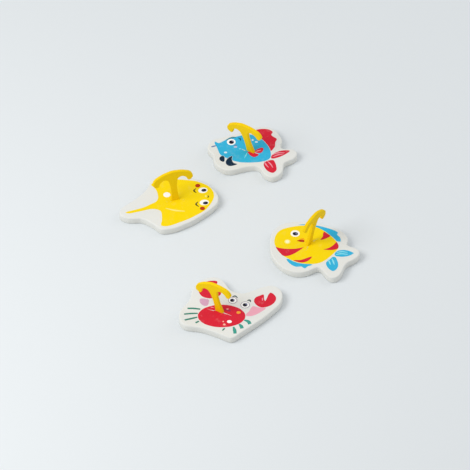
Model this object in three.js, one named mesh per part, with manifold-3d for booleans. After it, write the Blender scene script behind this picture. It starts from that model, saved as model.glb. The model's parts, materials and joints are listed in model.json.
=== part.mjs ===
// A fishing game's catch: four flat foam sea animals that float, each with a double hook
// plate pushed into a slit through its middle, so that a rod or a net can pick it up.
// Lengths are in millimetres and angles in degrees. +Z is up, the set stands on Z = 0, and
// the origin is under the middle of the whole set.

import * as THREE from 'three';
import { mergeVertices } from 'three/addons/utils/BufferGeometryUtils.js';
import Module from 'manifold-3d';

const wasm = await Module();
wasm.setup();

// Foam sheet that the floats are cut from
const FOAM_THICKNESS = 10;
const FOAM_EDGE_RADIUS = 2.5;

// Colour fields printed on the foam
const INK_THICKNESS = 0.25;
const INK_GAP = 0.4;

// Hook plate, measured up from the top of the foam
const HOOK_HEIGHT = 47.5;
const HOOK_SPAN = 51.5;
const HOOK_THICKNESS = 4;
const HOOK_EDGE_RADIUS = 0.7;
const STEM_WIDTH = 8.2;
const TANG_WIDTH = 10.5;
const TANG_DEPTH = 8;

// Slit that grips the hook's tang
const SLIT_LENGTH = 32;
const SLIT_WIDTH = 0.5;
const SLIT_CLEARANCE = 0.3;

// Cuts run past the faces that they open by this much
const OVERRUN = 8;

// Length of each animal from nose to tail or from claw to leg
const BLUE_FISH_LENGTH = 112;
const RAY_LENGTH = 126;
const STRIPED_FISH_LENGTH = 116;
const CRAB_LENGTH = 121;

// Where each animal lies, to the right of the ray and behind it
const BLUE_FISH_RIGHT = 95.5;
const BLUE_FISH_BEHIND = 86;
const STRIPED_FISH_RIGHT = 165.5;
const STRIPED_FISH_BEHIND = -82;
const CRAB_RIGHT = 54.5;
const CRAB_BEHIND = -198;

// Steps drawn for each control point of a smooth outline, and round an ellipse or an end
const OUTLINE_STEPS = 2;
const HOOK_STEPS = 3;
const ELLIPSE_STEPS = 16;
const ROUND_END_STEPS = 5;
const FOAM_EDGE_STEPS = 2;
const SLIT_CURVE_STEPS = 4;

const PLASTIC_FOAM = { roughness: 0.75, metalness: 0 };
const MATERIALS = {
  foam_white: new THREE.MeshStandardMaterial({ color: 0xf3f1ec, ...PLASTIC_FOAM }),
  hook_yellow: new THREE.MeshStandardMaterial({ color: 0xf5cf12, ...PLASTIC_FOAM }),
  ink_blue: new THREE.MeshStandardMaterial({ color: 0x43b1d6, ...PLASTIC_FOAM }),
  ink_red: new THREE.MeshStandardMaterial({ color: 0xd92a42, ...PLASTIC_FOAM }),
  ink_navy: new THREE.MeshStandardMaterial({ color: 0x0b2136, ...PLASTIC_FOAM }),
  ink_yellow: new THREE.MeshStandardMaterial({ color: 0xfad407, ...PLASTIC_FOAM }),
  ink_teal: new THREE.MeshStandardMaterial({ color: 0x4ba593, ...PLASTIC_FOAM }),
  ink_pink: new THREE.MeshStandardMaterial({ color: 0xf2b2c2, ...PLASTIC_FOAM }),
  ink_rust: new THREE.MeshStandardMaterial({ color: 0xc04a16, ...PLASTIC_FOAM }),
  ink_white: new THREE.MeshStandardMaterial({ color: 0xffffff, ...PLASTIC_FOAM }),
  ink_black: new THREE.MeshStandardMaterial({ color: 0x17131c, ...PLASTIC_FOAM }),
};

// Every animal is drawn in its own frame, with X towards its heading. Outlines, places and
// radii are shares of its length. The slit turns from X, the hook in it leans to its left
// and tilts forwards. A print lies on the foam, or on another print where it says on, and
// keeps the ink gap to the prints that it says it clears.
const BLUE_FISH = {
  name: 'blue_fish',
  length: BLUE_FISH_LENGTH,
  right: BLUE_FISH_RIGHT,
  behind: BLUE_FISH_BEHIND,
  heading: -13,
  slitShare: [-0.014, 0.019],
  slitTurn: -20.5,
  hookLean: 12,
  hookTilt: 6.5,
  outlineShares: [
    [-0.5, -0.03], [-0.5, 0.02], [-0.485, 0.075], [-0.455, 0.12], [-0.405, 0.14],
    [-0.345, 0.185], [-0.275, 0.23], [-0.205, 0.27], [-0.135, 0.32], [-0.08, 0.37],
    [-0.02, 0.41], [0.045, 0.43], [0.11, 0.43], [0.175, 0.405], [0.225, 0.355],
    [0.265, 0.305], [0.29, 0.25], [0.29, 0.185], [0.31, 0.145], [0.35, 0.14],
    [0.405, 0.155], [0.46, 0.145], [0.495, 0.105], [0.495, 0.055], [0.47, 0.005],
    [0.42, -0.04], [0.39, -0.085], [0.395, -0.145], [0.4, -0.21], [0.375, -0.28],
    [0.32, -0.325], [0.255, -0.32], [0.195, -0.28], [0.155, -0.225], [0.11, -0.2],
    [0.045, -0.21], [-0.03, -0.245], [-0.105, -0.295], [-0.165, -0.325],
    [-0.235, -0.33], [-0.3, -0.305], [-0.36, -0.255], [-0.395, -0.19], [-0.42, -0.12],
    [-0.465, -0.085],
  ],
  prints: [
    {
      name: 'body', ink: 'ink_blue', clears: ['fin_front', 'fin_rear'],
      shares: [
        [-0.44, 0.075], [-0.395, 0.06], [-0.36, 0.09], [-0.315, 0.14], [-0.255, 0.185],
        [-0.195, 0.22], [-0.135, 0.255], [-0.07, 0.27], [-0.005, 0.255], [0.07, 0.22],
        [0.125, 0.17], [0.175, 0.11], [0.21, 0.035], [0.22, -0.035], [0.195, -0.08],
        [0.145, -0.115], [0.085, -0.14], [0, -0.165], [-0.09, -0.18], [-0.16, -0.175],
        [-0.235, -0.155], [-0.31, -0.13], [-0.345, -0.1], [-0.38, -0.04],
        [-0.41, 0.01], [-0.43, 0.035],
      ],
    },
    {
      name: 'fin_back', ink: 'ink_red', clears: ['body'],
      shares: [
        [-0.08, 0.3], [-0.045, 0.345], [0.01, 0.38], [0.075, 0.395], [0.12, 0.39],
        [0.155, 0.365], [0.15, 0.32], [0.18, 0.295], [0.225, 0.27], [0.22, 0.215],
        [0.23, 0.155], [0.22, 0.105], [0.195, 0.06], [0.165, 0.08], [0.1, 0.16],
        [0, 0.235],
      ],
    },
    {
      name: 'tail_upper', ink: 'ink_red', clears: ['body'],
      shares: [
        [0.225, -0.015], [0.25, 0.045], [0.305, 0.095], [0.37, 0.12], [0.41, 0.12],
        [0.39, 0.08], [0.345, 0.025], [0.285, -0.025], [0.24, -0.045],
      ],
    },
    {
      name: 'tail_lower', ink: 'ink_red', clears: ['body'],
      shares: [
        [0.225, -0.075], [0.19, -0.1], [0.17, -0.14], [0.185, -0.185], [0.225, -0.235],
        [0.27, -0.26], [0.305, -0.26], [0.33, -0.21], [0.315, -0.15], [0.285, -0.09],
        [0.26, -0.065],
      ],
    },
    {
      name: 'fin_front', ink: 'ink_navy', clears: [],
      shares: [
        [-0.33, -0.18], [-0.325, -0.145], [-0.3, -0.125], [-0.28, -0.145],
        [-0.27, -0.18], [-0.27, -0.215], [-0.305, -0.21],
      ],
    },
    {
      name: 'fin_rear', ink: 'ink_navy', clears: [],
      shares: [
        [-0.2, -0.105], [-0.235, -0.145], [-0.25, -0.2], [-0.235, -0.245],
        [-0.195, -0.265], [-0.155, -0.25], [-0.115, -0.215], [-0.155, -0.21],
        [-0.18, -0.185], [-0.195, -0.145],
      ],
    },
    {
      name: 'fin_side_lower', ink: 'ink_red', on: 'body',
      shares: [
        [-0.025, -0.02], [-0.01, -0.045], [0.03, -0.07], [0.065, -0.065],
        [0.085, -0.035], [0.04, -0.02],
      ],
    },
    {
      name: 'fin_side_upper', ink: 'ink_red', on: 'body',
      shares: [
        [0.05, 0.01], [0.06, 0.06], [0.1, 0.09], [0.125, 0.085], [0.12, 0.03],
        [0.095, -0.01], [0.07, 0],
      ],
    },
    {
      name: 'eye', ink: 'ink_white', on: 'body',
      middleShare: [-0.26, 0.107], radiiShare: [0.044, 0.044],
    },
    {
      name: 'pupil', ink: 'ink_black', on: 'eye',
      middleShare: [-0.257, 0.105], radiiShare: [0.023, 0.023],
    },
  ],
};

const RAY = {
  name: 'ray',
  length: RAY_LENGTH,
  right: 0,
  behind: 0,
  heading: 13,
  slitShare: [0.004, 0.028],
  slitTurn: 3.5,
  hookLean: 4.5,
  hookTilt: -3,
  outlineShares: [
    [-0.575, -0.03], [-0.55, 0.02], [-0.505, 0.05], [-0.44, 0.085], [-0.365, 0.13],
    [-0.305, 0.17], [-0.255, 0.215], [-0.215, 0.265], [-0.185, 0.315], [-0.14, 0.355],
    [-0.07, 0.365], [0.015, 0.35], [0.1, 0.33], [0.19, 0.3], [0.255, 0.27],
    [0.305, 0.225], [0.355, 0.17], [0.4, 0.095], [0.425, 0.025], [0.43, -0.04],
    [0.41, -0.105], [0.35, -0.165], [0.275, -0.215], [0.195, -0.26], [0.105, -0.305],
    [0.015, -0.335], [-0.07, -0.36], [-0.155, -0.365], [-0.215, -0.355],
    [-0.25, -0.32], [-0.275, -0.275], [-0.31, -0.23], [-0.35, -0.185], [-0.395, -0.155],
    [-0.45, -0.145], [-0.505, -0.13], [-0.55, -0.1], [-0.575, -0.065],
  ],
  prints: [
    {
      name: 'body', ink: 'ink_yellow', clears: [],
      shares: [
        [-0.185, 0.275], [-0.165, 0.235], [-0.15, 0.185], [-0.15, 0.13], [-0.16, 0.075],
        [-0.19, 0.035], [-0.24, 0.015], [-0.305, -0.01], [-0.38, -0.025],
        [-0.465, -0.035], [-0.52, -0.045], [-0.49, -0.065], [-0.42, -0.065],
        [-0.34, -0.06], [-0.265, -0.055], [-0.21, -0.07], [-0.175, -0.105],
        [-0.175, -0.16], [-0.195, -0.245], [-0.215, -0.305], [-0.145, -0.325],
        [-0.04, -0.305], [0.07, -0.275], [0.17, -0.235], [0.265, -0.185], [0.345, -0.1],
        [0.385, -0.03], [0.395, 0.04], [0.375, 0.115], [0.325, 0.175], [0.255, 0.23],
        [0.195, 0.255], [0.11, 0.285], [0, 0.31], [-0.095, 0.315], [-0.15, 0.3],
      ],
    },
    {
      name: 'eye_right', ink: 'ink_white', on: 'body',
      middleShare: [0.3, 0.085], radiiShare: [0.046, 0.038],
    },
    {
      name: 'eye_left', ink: 'ink_white', on: 'body',
      middleShare: [0.275, -0.085], radiiShare: [0.046, 0.038],
    },
    {
      name: 'pupil_right', ink: 'ink_black', on: 'eye_right',
      middleShare: [0.31, 0.083], radiiShare: [0.026, 0.02],
    },
    {
      name: 'pupil_left', ink: 'ink_black', on: 'eye_left',
      middleShare: [0.285, -0.095], radiiShare: [0.026, 0.02],
    },
    {
      name: 'cheek_right', ink: 'ink_rust', on: 'body',
      middleShare: [0.265, 0.16], radiiShare: [0.021, 0.021],
    },
    {
      name: 'cheek_left', ink: 'ink_rust', on: 'body',
      middleShare: [0.238, -0.162], radiiShare: [0.021, 0.021],
    },
    {
      name: 'spot', ink: 'ink_white', on: 'body',
      middleShare: [-0.063, 0.104], radiiShare: [0.035, 0.035],
    },
  ],
};

const STRIPED_FISH = {
  name: 'striped_fish',
  length: STRIPED_FISH_LENGTH,
  right: STRIPED_FISH_RIGHT,
  behind: STRIPED_FISH_BEHIND,
  heading: -13,
  slitShare: [-0.004, 0.065],
  slitTurn: 71.5,
  hookLean: -14.5,
  hookTilt: 5,
  outlineShares: [
    [-0.41, -0.03], [-0.425, 0.05], [-0.43, 0.13], [-0.41, 0.2], [-0.375, 0.26],
    [-0.33, 0.305], [-0.27, 0.335], [-0.21, 0.36], [-0.13, 0.375], [-0.04, 0.38],
    [0.04, 0.385], [0.11, 0.38], [0.18, 0.365], [0.24, 0.35], [0.3, 0.325],
    [0.355, 0.285], [0.39, 0.235], [0.4, 0.185], [0.4, 0.145], [0.43, 0.125],
    [0.485, 0.115], [0.54, 0.09], [0.565, 0.04], [0.55, -0.025], [0.51, -0.08],
    [0.47, -0.125], [0.45, -0.18], [0.445, -0.24], [0.435, -0.305], [0.41, -0.36],
    [0.37, -0.385], [0.325, -0.38], [0.28, -0.345], [0.235, -0.3], [0.2, -0.27],
    [0.165, -0.27], [0.13, -0.3], [0.085, -0.345], [0.025, -0.38], [-0.035, -0.395],
    [-0.105, -0.39], [-0.175, -0.365], [-0.245, -0.32], [-0.305, -0.26],
    [-0.355, -0.195], [-0.39, -0.11],
  ],
  prints: [
    {
      name: 'body', ink: 'ink_yellow', clears: [],
      shares: [
        [-0.375, 0.085], [-0.365, 0.165], [-0.325, 0.225], [-0.25, 0.27],
        [-0.175, 0.305], [-0.09, 0.32], [0.02, 0.315], [0.105, 0.28], [0.195, 0.23],
        [0.27, 0.17], [0.31, 0.095], [0.315, 0.015], [0.29, -0.075], [0.24, -0.15],
        [0.165, -0.21], [0.07, -0.24], [-0.025, -0.25], [-0.115, -0.235],
        [-0.205, -0.19], [-0.28, -0.13], [-0.34, -0.065], [-0.38, 0.01],
      ],
    },
    {
      name: 'stripe_chin', ink: 'ink_red', on: 'body',
      shares: [
        [-0.355, -0.06], [-0.31, -0.085], [-0.25, -0.09], [-0.165, -0.075],
        [-0.095, -0.045], [-0.04, -0.01], [-0.08, -0.09], [-0.135, -0.15],
        [-0.2, -0.185], [-0.27, -0.165],
      ],
    },
    {
      name: 'stripe_belly', ink: 'ink_red', on: 'body',
      shares: [
        [-0.11, -0.225], [-0.035, -0.205], [0.02, -0.165], [0.075, -0.125],
        [0.065, -0.17], [0.035, -0.215], [-0.015, -0.24], [-0.06, -0.24],
      ],
    },
    {
      name: 'stripe_back', ink: 'ink_red', on: 'body',
      shares: [[0.115, 0.275], [0.2, 0.235], [0.175, 0.19], [0.105, 0.14], [0.12, 0.195]],
    },
    {
      name: 'stripe_tail', ink: 'ink_red', on: 'body',
      shares: [
        [0.295, 0.15], [0.32, 0.09], [0.31, 0.05], [0.245, 0.01], [0.155, 0],
        [0.22, 0.04], [0.26, 0.09],
      ],
    },
    {
      name: 'fin_upper', ink: 'ink_blue', clears: ['body'],
      shares: [
        [-0.185, 0.305], [-0.115, 0.335], [-0.04, 0.345], [0.06, 0.345], [0.14, 0.335],
        [0.21, 0.32], [0.265, 0.295], [0.265, 0.26], [0.3, 0.23], [0.325, 0.165],
        [0.27, 0.17], [0.18, 0.23], [0.09, 0.275], [0, 0.3], [-0.1, 0.3],
      ],
    },
    {
      name: 'fin_lower', ink: 'ink_blue', clears: ['body'],
      shares: [
        [-0.185, -0.225], [-0.115, -0.295], [-0.055, -0.315], [0, -0.3], [0.04, -0.32],
        [0.065, -0.28], [0.11, -0.245], [0, -0.235], [-0.1, -0.215],
      ],
    },
    {
      name: 'tail_upper', ink: 'ink_blue', clears: ['body'],
      shares: [
        [0.315, -0.04], [0.335, 0.01], [0.395, 0.035], [0.46, 0.035], [0.51, 0.02],
        [0.475, -0.02], [0.415, -0.05], [0.355, -0.06],
      ],
    },
    {
      name: 'tail_lower', ink: 'ink_blue', clears: ['body', 'tail_upper'],
      shares: [
        [0.27, -0.13], [0.245, -0.175], [0.26, -0.225], [0.3, -0.27], [0.345, -0.29],
        [0.375, -0.255], [0.38, -0.19], [0.355, -0.125], [0.325, -0.08], [0.295, -0.08],
      ],
    },
    {
      name: 'eye', ink: 'ink_white', on: 'body',
      middleShare: [-0.18, 0.175], radiiShare: [0.046, 0.046],
    },
    {
      name: 'pupil', ink: 'ink_black', on: 'eye',
      middleShare: [-0.177, 0.172], radiiShare: [0.027, 0.023],
    },
  ],
};

const CRAB = {
  name: 'crab',
  length: CRAB_LENGTH,
  right: CRAB_RIGHT,
  behind: CRAB_BEHIND,
  heading: -12,
  slitShare: [0.002, 0.03],
  slitTurn: -19.5,
  hookLean: 13.5,
  hookTilt: 3.5,
  outlineShares: [
    [-0.4, -0.08], [-0.39, -0.01], [-0.365, 0.05], [-0.345, 0.105], [-0.335, 0.17],
    [-0.34, 0.24], [-0.335, 0.31], [-0.315, 0.375], [-0.285, 0.425], [-0.235, 0.475],
    [-0.18, 0.505], [-0.115, 0.505], [-0.065, 0.48], [-0.015, 0.43], [0.025, 0.38],
    [0.075, 0.345], [0.13, 0.335], [0.185, 0.34], [0.23, 0.365], [0.285, 0.405],
    [0.34, 0.455], [0.395, 0.49], [0.445, 0.51], [0.495, 0.505], [0.545, 0.475],
    [0.58, 0.42], [0.595, 0.35], [0.59, 0.275], [0.56, 0.2], [0.515, 0.115],
    [0.455, 0.015], [0.39, -0.08], [0.325, -0.17], [0.265, -0.255], [0.235, -0.3],
    [0.2, -0.325], [0.155, -0.32], [0.075, -0.295], [-0.015, -0.27], [-0.105, -0.25],
    [-0.19, -0.245], [-0.27, -0.25], [-0.32, -0.24], [-0.36, -0.205], [-0.39, -0.145],
  ],
  prints: [
    {
      name: 'shell', ink: 'ink_red', clears: [],
      middleShare: [0.036, -0.037], radiiShare: [0.24, 0.16], turn: 12,
    },
    {
      name: 'claw_right', ink: 'ink_red', clears: [],
      shares: [
        [0.32, 0.245], [0.325, 0.3], [0.36, 0.335], [0.395, 0.36], [0.41, 0.31],
        [0.43, 0.27], [0.44, 0.33], [0.455, 0.4], [0.5, 0.38], [0.53, 0.335],
        [0.53, 0.285], [0.505, 0.23], [0.46, 0.19], [0.41, 0.175], [0.365, 0.19],
      ],
    },
    {
      name: 'claw_left', ink: 'ink_red', clears: [],
      shares: [
        [-0.27, 0.3], [-0.25, 0.255], [-0.215, 0.22], [-0.165, 0.2], [-0.12, 0.2],
        [-0.09, 0.24], [-0.08, 0.3], [-0.13, 0.29], [-0.165, 0.3], [-0.135, 0.34],
        [-0.1, 0.42], [-0.15, 0.435], [-0.205, 0.42], [-0.25, 0.37],
      ],
    },
    {
      name: 'arm_left', ink: 'ink_pink', clears: ['claw_left', 'shell'],
      shares: [
        [-0.23, 0.17], [-0.19, 0.19], [-0.14, 0.175], [-0.125, 0.115], [-0.15, 0.07],
        [-0.2, 0.1],
      ],
    },
    {
      name: 'arm_right', ink: 'ink_pink', clears: ['claw_right', 'shell'],
      shares: [
        [0.32, 0.17], [0.38, 0.165], [0.46, 0.175], [0.43, 0.12], [0.38, 0.06],
        [0.32, 0.02], [0.275, 0.025], [0.3, 0.095],
      ],
    },
    {
      name: 'eye_left', ink: 'ink_white', clears: ['shell'],
      middleShare: [0.1, 0.21], radiiShare: [0.042, 0.042],
    },
    {
      name: 'eye_right', ink: 'ink_white', clears: ['claw_right', 'arm_right'],
      middleShare: [0.24, 0.172], radiiShare: [0.042, 0.042],
    },
    {
      name: 'pupil_left', ink: 'ink_black', on: 'eye_left',
      middleShare: [0.096, 0.21], radiiShare: [0.021, 0.021],
    },
    {
      name: 'pupil_right', ink: 'ink_black', on: 'eye_right',
      middleShare: [0.238, 0.172], radiiShare: [0.021, 0.021],
    },
    {
      name: 'leg_left_1', ink: 'ink_teal', clears: ['shell'],
      fromShare: [-0.325, 0], toShare: [-0.19, 0.01], widthShare: 0.018,
    },
    {
      name: 'leg_left_2', ink: 'ink_teal', clears: ['shell'],
      fromShare: [-0.34, -0.09], toShare: [-0.2, -0.05], widthShare: 0.018,
    },
    {
      name: 'leg_left_3', ink: 'ink_teal', clears: ['shell'],
      fromShare: [-0.315, -0.17], toShare: [-0.185, -0.105], widthShare: 0.018,
    },
    {
      name: 'leg_left_4', ink: 'ink_teal', clears: ['shell'],
      fromShare: [-0.2, -0.19], toShare: [-0.16, -0.15], widthShare: 0.018,
    },
    {
      name: 'leg_right_1', ink: 'ink_teal', clears: ['shell'],
      fromShare: [0.28, -0.04], toShare: [0.345, -0.095], widthShare: 0.03,
    },
    {
      name: 'leg_right_2', ink: 'ink_teal', clears: ['shell'],
      fromShare: [0.235, -0.11], toShare: [0.275, -0.165], widthShare: 0.03,
    },
    {
      name: 'leg_right_3', ink: 'ink_teal', clears: ['shell'],
      fromShare: [0.185, -0.17], toShare: [0.225, -0.245], widthShare: 0.026,
    },
    {
      name: 'leg_right_4', ink: 'ink_teal', clears: ['shell'],
      fromShare: [0.115, -0.185], toShare: [0.09, -0.23], widthShare: 0.018,
    },
  ],
};

// Right half of the hook's two arms, from the armpit round the blunt tip to the middle of
// the top, as shares of the hook's span and height
const ARM_SHARES = [
  [0.128, 0.727], [0.224, 0.777], [0.324, 0.71], [0.373, 0.602], [0.432, 0.59],
  [0.497, 0.658], [0.5, 0.733], [0.471, 0.806], [0.408, 0.87], [0.26, 0.945], [0.112, 0.985],
];
const STEM_NARROW_SHARES = [0.26, 0.45];
const STEM_SPREAD_SHARE = 0.58;
const STEM_SPREAD_WIDTH_SHARE = 1.15;

// The slit's lips fall back from the tang's edge to a line over this share of its length
const LIP_SHARE = 0.25;

function smoothOutline(points, steps) {
  const loop = points.map(([x, y]) => new THREE.Vector3(x, y, 0));
  const curve = new THREE.CatmullRomCurve3(loop, true, 'centripetal');
  const samples = curve.getPoints(points.length * steps).slice(0, -1);
  return samples.map((p) => new THREE.Vector2(p.x, p.y));
}

function ellipseOutline(middle, radii, turn) {
  const ellipse = new THREE.EllipseCurve(
    middle.x, middle.y, radii[0], radii[1], 0, 2 * Math.PI, false, THREE.MathUtils.degToRad(turn),
  );
  return ellipse.getPoints(ELLIPSE_STEPS).slice(0, -1);
}

// A straight bar with round ends
function barOutline(from, to, width) {
  const along = to.clone().sub(from).angle();
  const outline = [];
  for (const [end, start] of [[to, -Math.PI / 2], [from, Math.PI / 2]]) {
    for (let i = 0; i <= ROUND_END_STEPS; i += 1) {
      const angle = along + start + (Math.PI * i) / ROUND_END_STEPS;
      const rim = new THREE.Vector2(Math.cos(angle), Math.sin(angle));
      outline.push(end.clone().addScaledVector(rim, width / 2));
    }
  }
  return outline;
}

// The same closed outline, moved outwards along its normals
function grownOutline(outline, growth) {
  const side = THREE.ShapeUtils.isClockWise(outline) ? -growth : growth;
  return outline.map((point, i) => {
    const before = outline[(i + outline.length - 1) % outline.length];
    const after = outline[(i + 1) % outline.length];
    const along = after.clone().sub(before).normalize();
    return new THREE.Vector2(point.x + along.y * side, point.y - along.x * side);
  });
}

function printOutline(print, length) {
  const place = (share) => new THREE.Vector2(share[0] * length, share[1] * length);
  if (print.shares) {
    return smoothOutline(print.shares.map(([x, y]) => [x * length, y * length]), OUTLINE_STEPS);
  }
  if (print.widthShare) {
    return barOutline(place(print.fromShare), place(print.toShare), print.widthShare * length);
  }
  const radii = print.radiiShare.map((radius) => radius * length);
  return ellipseOutline(place(print.middleShare), radii, print.turn ?? 0);
}

// An upright prism on an outline, from bottom to top
function prism(outline, bottom, top) {
  const shape = new THREE.Shape(outline);
  const geometry = new THREE.ExtrudeGeometry(shape, { depth: top - bottom, bevelEnabled: false });
  return geometry.translate(0, 0, bottom);
}

function toSolid(geometry) {
  const bare = geometry.clone();
  bare.deleteAttribute('normal');
  bare.deleteAttribute('uv');
  const merged = mergeVertices(bare);
  return new wasm.Manifold(new wasm.Mesh({
    numProp: 3,
    vertProperties: new Float32Array(merged.attributes.position.array),
    triVerts: new Uint32Array(merged.index.array),
  }));
}

function toGeometry(solid) {
  const mesh = solid.getMesh();
  const geometry = new THREE.BufferGeometry();
  geometry.setAttribute('position', new THREE.BufferAttribute(mesh.vertProperties, 3));
  geometry.setIndex(new THREE.BufferAttribute(mesh.triVerts, 1));
  geometry.computeVertexNormals();
  return geometry;
}

// Hook plate: a tang for the slit, a stem that narrows above it and spreads into two
// drooping arms with blunt tips. It stands in its own frame, with the foam's top at Z = 0.
function hookGeometry() {
  const half = [
    [TANG_WIDTH / 2, 0],
    [STEM_WIDTH / 2, HOOK_HEIGHT * STEM_NARROW_SHARES[0]],
    [STEM_WIDTH / 2, HOOK_HEIGHT * STEM_NARROW_SHARES[1]],
    [(STEM_WIDTH * STEM_SPREAD_WIDTH_SHARE) / 2, HOOK_HEIGHT * STEM_SPREAD_SHARE],
    ...ARM_SHARES.map(([u, v]) => [u * HOOK_SPAN, v * HOOK_HEIGHT]),
  ];
  const mirrored = half.map(([u, v]) => [-u, v]).reverse();
  const rim = [...half, [0, HOOK_HEIGHT], ...mirrored].map(([u, v]) => new THREE.Vector2(u, v));
  const curve = new THREE.SplineCurve(rim).getPoints(rim.length * HOOK_STEPS);
  const outline = [
    new THREE.Vector2(-TANG_WIDTH / 2, -TANG_DEPTH),
    new THREE.Vector2(TANG_WIDTH / 2, -TANG_DEPTH),
    ...curve,
  ];
  const geometry = new THREE.ExtrudeGeometry(new THREE.Shape(outline), {
    depth: HOOK_THICKNESS - 2 * HOOK_EDGE_RADIUS,
    bevelThickness: HOOK_EDGE_RADIUS,
    bevelSize: HOOK_EDGE_RADIUS,
    bevelOffset: -HOOK_EDGE_RADIUS,
    bevelSegments: 1,
  });
  geometry.translate(0, 0, HOOK_EDGE_RADIUS - HOOK_THICKNESS / 2);
  return geometry.rotateX(Math.PI / 2);
}

// The slit's opening: the lips stand open round the tang and close to a line beyond it
function slitOutline() {
  const open = TANG_WIDTH / 2 + SLIT_CLEARANCE;
  const wide = HOOK_THICKNESS / 2 + SLIT_CLEARANCE;
  const end = SLIT_LENGTH / 2;
  const narrow = SLIT_WIDTH / 2;
  const lip = open + (end - open) * LIP_SHARE;
  const corner = new THREE.QuadraticBezierCurve(
    new THREE.Vector2(open, wide), new THREE.Vector2(lip, narrow), new THREE.Vector2(end, narrow),
  ).getPoints(SLIT_CURVE_STEPS);
  const right = [...corner.map((p) => new THREE.Vector2(p.x, -p.y)), ...[...corner].reverse()];
  return [...right, ...right.map((p) => new THREE.Vector2(-p.x, -p.y))];
}

// Frame of an animal's slit and hook, in the animal's own frame
function slitFrame(animal) {
  const frame = new THREE.Group();
  const turn = THREE.MathUtils.degToRad(animal.slitTurn);
  const lean = THREE.MathUtils.degToRad(animal.hookLean);
  const tilt = THREE.MathUtils.degToRad(animal.hookTilt);
  const [alongShare, acrossShare] = animal.slitShare;
  frame.position.set(alongShare * animal.length, acrossShare * animal.length, FOAM_THICKNESS);
  frame.rotation.set(tilt, -lean, turn, 'ZXY');
  frame.updateMatrix();
  return frame;
}

function floatGeometry(animal) {
  const points = animal.outlineShares.map(([x, y]) => [x * animal.length, y * animal.length]);
  const geometry = new THREE.ExtrudeGeometry(new THREE.Shape(smoothOutline(points, OUTLINE_STEPS)), {
    depth: FOAM_THICKNESS - 2 * FOAM_EDGE_RADIUS,
    bevelThickness: FOAM_EDGE_RADIUS,
    bevelSize: FOAM_EDGE_RADIUS,
    bevelOffset: -FOAM_EDGE_RADIUS,
    bevelSegments: FOAM_EDGE_STEPS,
  });
  return geometry.translate(0, 0, FOAM_EDGE_RADIUS);
}

// How many prints a print lies on
function layerOf(print, prints) {
  if (!print.on) {
    return 0;
  }
  return 1 + layerOf(prints.find((other) => other.name === print.on), prints);
}

function printGeometry(print, animal, slitCutter) {
  const bottom = FOAM_THICKNESS + layerOf(print, animal.prints) * INK_THICKNESS;
  const top = bottom + INK_THICKNESS;
  const find = (name) => {
    const named = animal.prints.find((other) => other.name === name);
    return printOutline(named, animal.length);
  };
  let solid = toSolid(prism(printOutline(print, animal.length), bottom, top)).subtract(slitCutter);
  for (const name of print.clears ?? []) {
    const room = grownOutline(find(name), INK_GAP);
    solid = solid.subtract(toSolid(prism(room, bottom - OVERRUN, top + OVERRUN)));
  }
  if (print.on) {
    solid = solid.intersect(toSolid(prism(find(print.on), bottom - OVERRUN, top + OVERRUN)));
  }
  return toGeometry(solid);
}

function makeMesh(name, geometry, slot) {
  const mesh = new THREE.Mesh(geometry, MATERIALS[slot]);
  mesh.name = name;
  return mesh;
}

function makeAnimal(animal) {
  const group = new THREE.Group();
  group.position.set(animal.right, animal.behind, 0);
  group.rotation.z = THREE.MathUtils.degToRad(animal.heading);
  const frame = slitFrame(animal);
  const cutter = prism(slitOutline(), -FOAM_THICKNESS - OVERRUN, OVERRUN);
  const slitCutter = toSolid(cutter.applyMatrix4(frame.matrix));
  const float = toGeometry(toSolid(floatGeometry(animal)).subtract(slitCutter));
  group.add(makeMesh(`${animal.name}_float`, float, 'foam_white'));
  for (const print of animal.prints) {
    const geometry = printGeometry(print, animal, slitCutter);
    group.add(makeMesh(`${animal.name}_${print.name}`, geometry, print.ink));
  }
  frame.add(makeMesh(`${animal.name}_hook`, hookGeometry(), 'hook_yellow'));
  group.add(frame);
  return group;
}

const fishingGame = new THREE.Group();
for (const animal of [BLUE_FISH, RAY, STRIPED_FISH, CRAB]) {
  fishingGame.add(makeAnimal(animal));
}

// Put the origin under the middle of the set
fishingGame.updateMatrixWorld(true);
const middle = new THREE.Box3().setFromObject(fishingGame, true).getCenter(new THREE.Vector3());
fishingGame.position.set(-middle.x, -middle.y, 0);

export default fishingGame;
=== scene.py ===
"""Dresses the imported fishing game: four foam sea animals, each with a double hook in its slit.

Lengths are in metres unless a comment says millimetres. +Z is up, the animals lie on Z = 0,
and the camera looks from -Y. The foam sheets, the hook plates and most prints start from a
section through their CAD node, which is drawn again with smooth curves. The small marks
over them are strokes, rings, dots and patches of ink.
"""

import json
import math

import bpy
from mathutils import Matrix, Vector

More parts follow.
